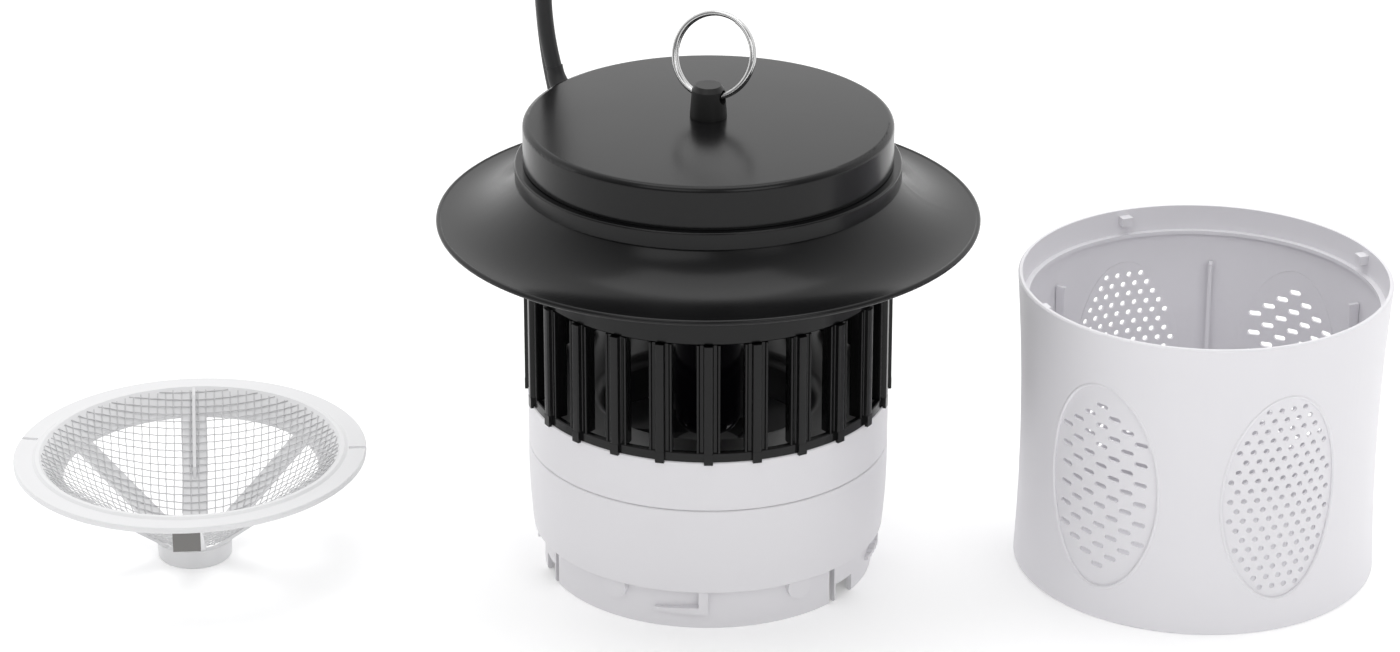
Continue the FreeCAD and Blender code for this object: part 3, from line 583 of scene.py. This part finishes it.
def perforated_panel(turn, holes):
    """A curved plate with real holes through it: front, back and the edges between."""
    loops = [oval(WINDOW_HALF_WIDTH, WINDOW_HALF_HEIGHT, OUTLINE_STEPS)] + holes
    flat, edges, owner = [], [], []
    for number, loop in enumerate(loops):
        base = len(flat)
        flat.extend(loop)
        owner.extend([number] * len(loop))
        edges.extend((base + step, base + (step + 1) % len(loop)) for step in range(len(loop)))
    for place in fill_points(holes):
        flat.append(place)
        owner.append(-1)
    result = delaunay_2d_cdt([Vector(point) for point in flat], edges, [], 1, 1e-6)
    points = [(point.x, point.y) for point in result[0]]
    loop_of = [owner[origin[0]] if origin else -1 for origin in result[3]]
    triangles = []
    for face in result[2]:
        owners = {loop_of[index] for index in face}
        if len(owners) > 1 or owners & {0, -1}:
            triangles.append(tuple(face))
    front = [on_bucket(turn, x, y + WINDOW_HEIGHT, PANEL_INSET) for x, y in points]
    back = [on_bucket(turn, x, y + WINDOW_HEIGHT, PANEL_BACK) for x, y in points]
    count = len(points)
    faces = list(triangles)
    faces += [tuple(index + count for index in reversed(face)) for face in triangles]
    directed = {(face[step], face[(step + 1) % 3]) for face in triangles for step in range(3)}
    for start, end in directed:
        if (end, start) not in directed:
            faces.append((end, start, start + count, end + count))
    return front + back, faces


LIP_RADIUS = 0.8
LIP_INSET = 0.42
LIP_MARGIN = 0.35


def window_lip(turn):
    """The raised rounded border that runs round a window."""
    border = oval(WINDOW_HALF_WIDTH + LIP_MARGIN, WINDOW_HALF_HEIGHT + LIP_MARGIN, 120)
    path = [on_bucket(turn, across, up + WINDOW_HEIGHT, LIP_INSET) for across, up in border]
    return tube_along(path, LIP_RADIUS * MM, 10, closed=True)


def make_vents():
    round_ones = round_holes()
    long_ones = long_holes()
    panels, lips = [], []
    for index, step in enumerate(WINDOW_STEPS):
        turn = FIRST_WINDOW + step
        panels.append(perforated_panel(turn, round_ones if index % 2 else long_ones))
        lips.append(window_lip(turn))
    add_piece("vent_panels", mesh_from("vent_panels", *joined(panels)), "white_bucket", "bucket",
              smooth=30, replaced=["bucket_vents"])
    add_piece("window_lips", mesh_from("window_lips", *joined(lips)), "white_bucket", "bucket",
              smooth=50)


# ---- Strainer's net -----------------------------------------------------

NET_INNER = 16.6
NET_OUTER = 64.0
NET_FOOT = 11.0
NET_SLOPE = 0.8158
NET_CELL = 3.6
STRAND = 0.25
STRAINER_TURN = 4.5
LIFT_INWARDS = 0.63
LIFT_UPWARDS = 0.77
STEPS_A_CELL = 4
SHORTEST_RUN = 4
WEAVE_RISE = 0.8
STRAND_SWAY = 0.16


def on_net(across, along, lift):
    """A point of the flat net once it is rolled into the bowl, its middle line at the back."""
    slant = math.sqrt(1 + NET_SLOPE ** 2)
    reach = math.hypot(across, along)
    turn = 180 + STRAINER_TURN + math.degrees(math.atan2(-across, along)) * slant
    radius = reach / slant
    height = NET_FOOT + (radius - NET_INNER) * NET_SLOPE
    inwards = lift * LIFT_INWARDS
    upwards = lift * LIFT_UPWARDS
    return around(STRAINER, (radius - inwards) * MM, turn, (height + upwards) * MM)


def strand_runs(fixed, first_axis):
    """The lengths of one strand that lie on the bowl, as places along it."""
    slant = math.sqrt(1 + NET_SLOPE ** 2)
    widest = math.pi / slant
    step = NET_CELL / STEPS_A_CELL
    count = int(NET_OUTER * slant / step) + 1
    run, runs = [], []
    for index in range(-count, count + 1):
        place = index * step
        across, along = (fixed, place) if first_axis else (place, fixed)
        reach = math.hypot(across, along)
        on_bowl = NET_INNER * slant <= reach <= NET_OUTER * slant
        if on_bowl and abs(math.atan2(across, along)) < widest:
            run.append((across, along, index))
        elif run:
            runs.append(run)
            run = []
    if run:
        runs.append(run)
    return [run for run in runs if len(run) >= SHORTEST_RUN]


def make_net():
    """Two sets of strands that pass over and under each other."""
    tubes = []
    half_count = int(NET_OUTER * math.sqrt(1 + NET_SLOPE ** 2) / NET_CELL) + 1
    for first_axis in (True, False):
        for line in range(-half_count, half_count + 1):
            for run in strand_runs((line + 0.5) * NET_CELL, first_axis):
                points = []
                for across, along, index in run:
                    wave = math.cos(math.pi * (index / STEPS_A_CELL + 0.5 + line))
                    sway = STRAND_SWAY * math.sin(line * 1.7 + index * 0.11)
                    side = STRAND * WEAVE_RISE * (wave if first_axis else -wave)
                    if first_axis:
                        points.append(on_net(across + sway, along, side))
                    else:
                        points.append(on_net(across, along + sway, side))
                tubes.append(tube_along(points, STRAND * MM, 6))
    add_piece("woven_net", mesh_from("woven_net", *joined(tubes)), "net_white", "strainer",
              smooth=60, replaced=["strainer_net"])


# ---- Cage ---------------------------------------------------------------

CORNER_STEPS = 4
LARGEST_CUT = 0.48


def rounded(corners, cuts):
    """A closed outline whose corners are rounded off by their own cuts."""
    outline = []
    count = len(corners)
    for index, corner in enumerate(corners):
        here = Vector(corner)
        before = Vector(corners[index - 1]) - here
        after = Vector(corners[(index + 1) % count]) - here
        size = min(cuts[index], before.length * LARGEST_CUT, after.length * LARGEST_CUT)
        first = here + before.normalized() * size
        last = here + after.normalized() * size
        for step in range(CORNER_STEPS + 1):
            share = step / CORNER_STEPS
            outline.append(first * (1 - share) ** 2 + here * 2 * share * (1 - share) + last * share ** 2)
    return outline


def upright(outline, foot, top, turn):
    """Points and faces of an outline stood round the head's axis between two heights."""
    count = len(outline)
    angle = math.radians(turn)
    vertices, faces = [], []
    for height in (foot, top):
        for point in outline:
            along = point.x * math.cos(angle) + point.y * math.sin(angle)
            back = point.x * math.sin(angle) - point.y * math.cos(angle)
            vertices.append(HEAD + Vector((along, back, height)) * MM)
    for step in range(count):
        after = (step + 1) % count
        faces.append((step, after, count + after, count + step))
    faces.append(tuple(range(count)))
    faces.append(tuple(range(count, 2 * count)))
    return vertices, faces


# One slat seen from above, as across and out from the axis, and how much each corner is rounded.
SLAT_CORNERS = [
    (-4.1, 70.5), (4.1, 70.5), (4.9, 75.6), (4.9, 76.95), (4.0, 76.95), (3.6, 76.35),
    (2.0, 76.35), (1.85, 78.65), (-1.85, 78.65), (-2.0, 76.35), (-3.6, 76.35), (-4.0, 76.95),
    (-4.9, 76.95), (-4.9, 75.6),
]
SLAT_CUTS = [1.2, 1.2, 0.4, 0.35, 0.3, 0.3, 0.5, 0.75, 0.75, 0.5, 0.3, 0.3, 0.35, 0.4]
SLAT_FOOT = 84.7
SLAT_TOP = 133.4
SLAT_COUNT = 24


def make_slats():
    """Each slat is a web with a rounded rib down its face and a thin bead at either edge."""
    outline = rounded(SLAT_CORNERS, SLAT_CUTS)
    turns = [360 / SLAT_COUNT * index for index in range(SLAT_COUNT)]
    slats = [upright(outline, SLAT_FOOT, SLAT_TOP, turn) for turn in turns]
    add_piece("slats", mesh_from("slats", *joined(slats)), "black_shell", "head",
              smooth=40, replaced=["cage_slats"])


make_camera()
make_floor()
make_light()
paint_cad()
make_split_ring()
make_vents()
make_net()
make_slats()
make_cord()
